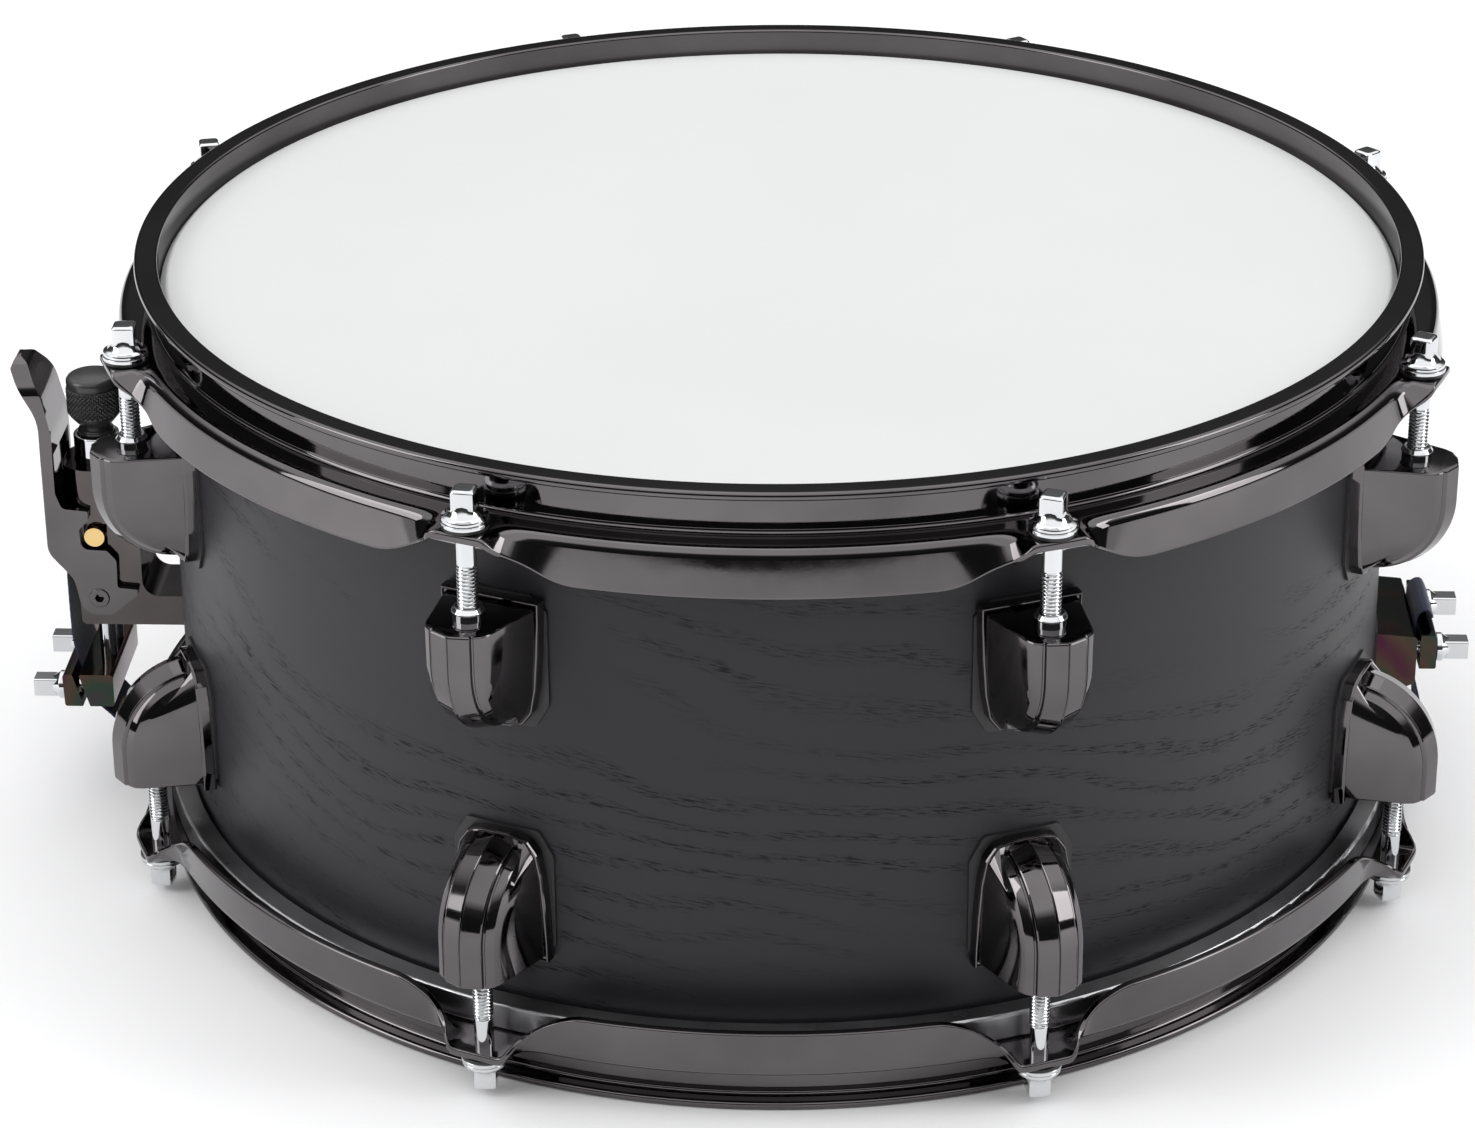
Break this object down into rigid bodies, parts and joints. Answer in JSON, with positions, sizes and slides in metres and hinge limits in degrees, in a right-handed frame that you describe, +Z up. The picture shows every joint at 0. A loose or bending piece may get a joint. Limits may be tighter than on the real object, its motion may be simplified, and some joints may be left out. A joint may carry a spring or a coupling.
{
  "type": "snare drum",
  "caption": "Snare drum with a black shell, sheet-metal hoops, lugs with square-head tension rods, a lever throw-off and snare wires under the lower head.",
  "frame": {"origin": "on the drum's axis, in the plane of the bottom hoop's lip, where the drum rests", "axes": "+Z up along the drum axis towards the batter head, +X towards the butt end, -X towards the throw-off"},
  "size_m": [0.4302, 0.3828, 0.1802],
  "materials": {
    "shell_finish": "matt black stain with faint grain",
    "black_nickel": "black nickel plating, polished",
    "coated_film": "white coated film",
    "clear_film": "thin clear film",
    "flesh_hoop": "rolled aluminium",
    "chrome": "polished chrome",
    "black_plastic": "black nylon and gasket",
    "black_metal": "black plated, knurled",
    "brass_pin": "turned brass",
    "plain_steel": "plain steel",
    "ribbon_fabric": "blue-black ribbed ribbon"
  },
  "bodies": {
    "root": {"batter_head_film": "coated_film", "batter_head_ring": "flesh_hoop", "bottom_hoop": "black_nickel", "bottom_lugs": "black_nickel", "bracket_screws": "plain_steel", "butt_block": "black_nickel", "butt_clamp_plate": "black_nickel", "butt_clamp_screws": "chrome", "butt_gasket": "black_plastic", "butt_ribbon": "ribbon_fabric", "lug_gaskets": "black_plastic", "lug_inserts": "chrome", "lug_screw_washers": "plain_steel", "lug_screws": "plain_steel", "nylon_washers": "black_plastic", "rod_washers": "chrome", "shell": "shell_finish", "snare_head_film": "clear_film", "snare_head_ring": "flesh_hoop", "strainer_base": "black_nickel", "strainer_gasket": "black_plastic", "strainer_pivot_screws": "black_nickel", "top_hoop": "black_nickel", "top_lugs": "black_nickel", "vent_eyelet": "black_nickel", "vent_ring": "black_nickel"},
    "lever": {"strainer_lever": "black_nickel"},
    "slider": {"strainer_slider": "black_nickel", "strainer_cross_pin": "brass_pin", "strainer_sleeve": "chrome"},
    "knob": {"strainer_knob": "black_metal"},
    "carriage": {"strainer_clamp_block": "black_nickel", "strainer_clamp_plate": "black_nickel", "strainer_clamp_screws": "chrome", "strainer_guide_rods": "chrome"},
    "snares": {"snare_wires": "plain_steel", "snare_end_plates": "plain_steel", "strainer_ribbon": "ribbon_fabric"},
    "top_rod_1": {"top_tension_rod_1": "chrome"},
    "bottom_rod_1": {"bottom_tension_rod_1": "chrome"},
    "top_rod_2": {"top_tension_rod_2": "chrome"},
    "bottom_rod_2": {"bottom_tension_rod_2": "chrome"},
    "top_rod_3": {"top_tension_rod_3": "chrome"},
    "bottom_rod_3": {"bottom_tension_rod_3": "chrome"},
    "top_rod_4": {"top_tension_rod_4": "chrome"},
    "bottom_rod_4": {"bottom_tension_rod_4": "chrome"},
    "top_rod_5": {"top_tension_rod_5": "chrome"},
    "bottom_rod_5": {"bottom_tension_rod_5": "chrome"},
    "top_rod_6": {"top_tension_rod_6": "chrome"},
    "bottom_rod_6": {"bottom_tension_rod_6": "chrome"},
    "top_rod_7": {"top_tension_rod_7": "chrome"},
    "bottom_rod_7": {"bottom_tension_rod_7": "chrome"},
    "top_rod_8": {"top_tension_rod_8": "chrome"},
    "bottom_rod_8": {"bottom_tension_rod_8": "chrome"}
  },
  "joints": [
    {"name": "throw_off_lever", "type": "hinge", "parent": "root", "child": "lever", "pos_m": [-0.2031, 0, 0.0641], "axis": [0, -1, 0], "range_deg": [0, 70]},
    {"name": "slider_drop", "type": "slide", "parent": "root", "child": "slider", "axis": [0, 0, -1], "range_m": [0, 0.0046]},
    {"name": "tension_knob", "type": "hinge", "parent": "slider", "child": "knob", "pos_m": [-0.2031, 0, 0.12], "axis": [0, 0, 1], "range_deg": [0, 720.5]},
    {"name": "clamp_drop", "type": "slide", "parent": "slider", "child": "carriage", "axis": [0, 0, -1], "range_m": [0, 0.0014]},
    {"name": "snare_swing", "type": "hinge", "parent": "root", "child": "snares", "pos_m": [0.157, 0, 0.0062], "axis": [0, -1, 0], "range_deg": [0, 0.72]},
    {"name": "top_rod_1_turn", "type": "hinge", "parent": "root", "child": "top_rod_1", "pos_m": [0.17738, 0.07347, 0.1672], "axis": [0, 0, 1], "continuous": true},
    {"name": "bottom_rod_1_turn", "type": "hinge", "parent": "root", "child": "bottom_rod_1", "pos_m": [0.17738, 0.07347, 0.013], "axis": [0, 0, 1], "continuous": true},
    {"name": "top_rod_2_turn", "type": "hinge", "parent": "root", "child": "top_rod_2", "pos_m": [0.07347, 0.17738, 0.1672], "axis": [0, 0, 1], "continuous": true},
    {"name": "bottom_rod_2_turn", "type": "hinge", "parent": "root", "child": "bottom_rod_2", "pos_m": [0.07347, 0.17738, 0.013], "axis": [0, 0, 1], "continuous": true},
    {"name": "top_rod_3_turn", "type": "hinge", "parent": "root", "child": "top_rod_3", "pos_m": [-0.07347, 0.17738, 0.1672], "axis": [0, 0, 1], "continuous": true},
    {"name": "bottom_rod_3_turn", "type": "hinge", "parent": "root", "child": "bottom_rod_3", "pos_m": [-0.07347, 0.17738, 0.013], "axis": [0, 0, 1], "continuous": true},
    {"name": "top_rod_4_turn", "type": "hinge", "parent": "root", "child": "top_rod_4", "pos_m": [-0.17738, 0.07347, 0.1672], "axis": [0, 0, 1], "continuous": true},
    {"name": "bottom_rod_4_turn", "type": "hinge", "parent": "root", "child": "bottom_rod_4", "pos_m": [-0.17738, 0.07347, 0.013], "axis": [0, 0, 1], "continuous": true},
    {"name": "top_rod_5_turn", "type": "hinge", "parent": "root", "child": "top_rod_5", "pos_m": [-0.17738, -0.07347, 0.1672], "axis": [0, 0, 1], "continuous": true},
    {"name": "bottom_rod_5_turn", "type": "hinge", "parent": "root", "child": "bottom_rod_5", "pos_m": [-0.17738, -0.07347, 0.013], "axis": [0, 0, 1], "continuous": true},
    {"name": "top_rod_6_turn", "type": "hinge", "parent": "root", "child": "top_rod_6", "pos_m": [-0.07347, -0.17738, 0.1672], "axis": [0, 0, 1], "continuous": true},
    {"name": "bottom_rod_6_turn", "type": "hinge", "parent": "root", "child": "bottom_rod_6", "pos_m": [-0.07347, -0.17738, 0.013], "axis": [0, 0, 1], "continuous": true},
    {"name": "top_rod_7_turn", "type": "hinge", "parent": "root", "child": "top_rod_7", "pos_m": [0.07347, -0.17738, 0.1672], "axis": [0, 0, 1], "continuous": true},
    {"name": "bottom_rod_7_turn", "type": "hinge", "parent": "root", "child": "bottom_rod_7", "pos_m": [0.07347, -0.17738, 0.013], "axis": [0, 0, 1], "continuous": true},
    {"name": "top_rod_8_turn", "type": "hinge", "parent": "root", "child": "top_rod_8", "pos_m": [0.17738, -0.07347, 0.1672], "axis": [0, 0, 1], "continuous": true},
    {"name": "bottom_rod_8_turn", "type": "hinge", "parent": "root", "child": "bottom_rod_8", "pos_m": [0.17738, -0.07347, 0.013], "axis": [0, 0, 1], "continuous": true}
  ],
  "couplings": [
    {"joint": "slider_drop", "follows": "throw_off_lever", "m_per_rad": 0.0037324},
    {"joint": "snare_swing", "follows": "throw_off_lever", "ratio": 0.01},
    {"joint": "tension_knob", "follows": "clamp_drop", "rad_per_m": 8976}
  ]
}
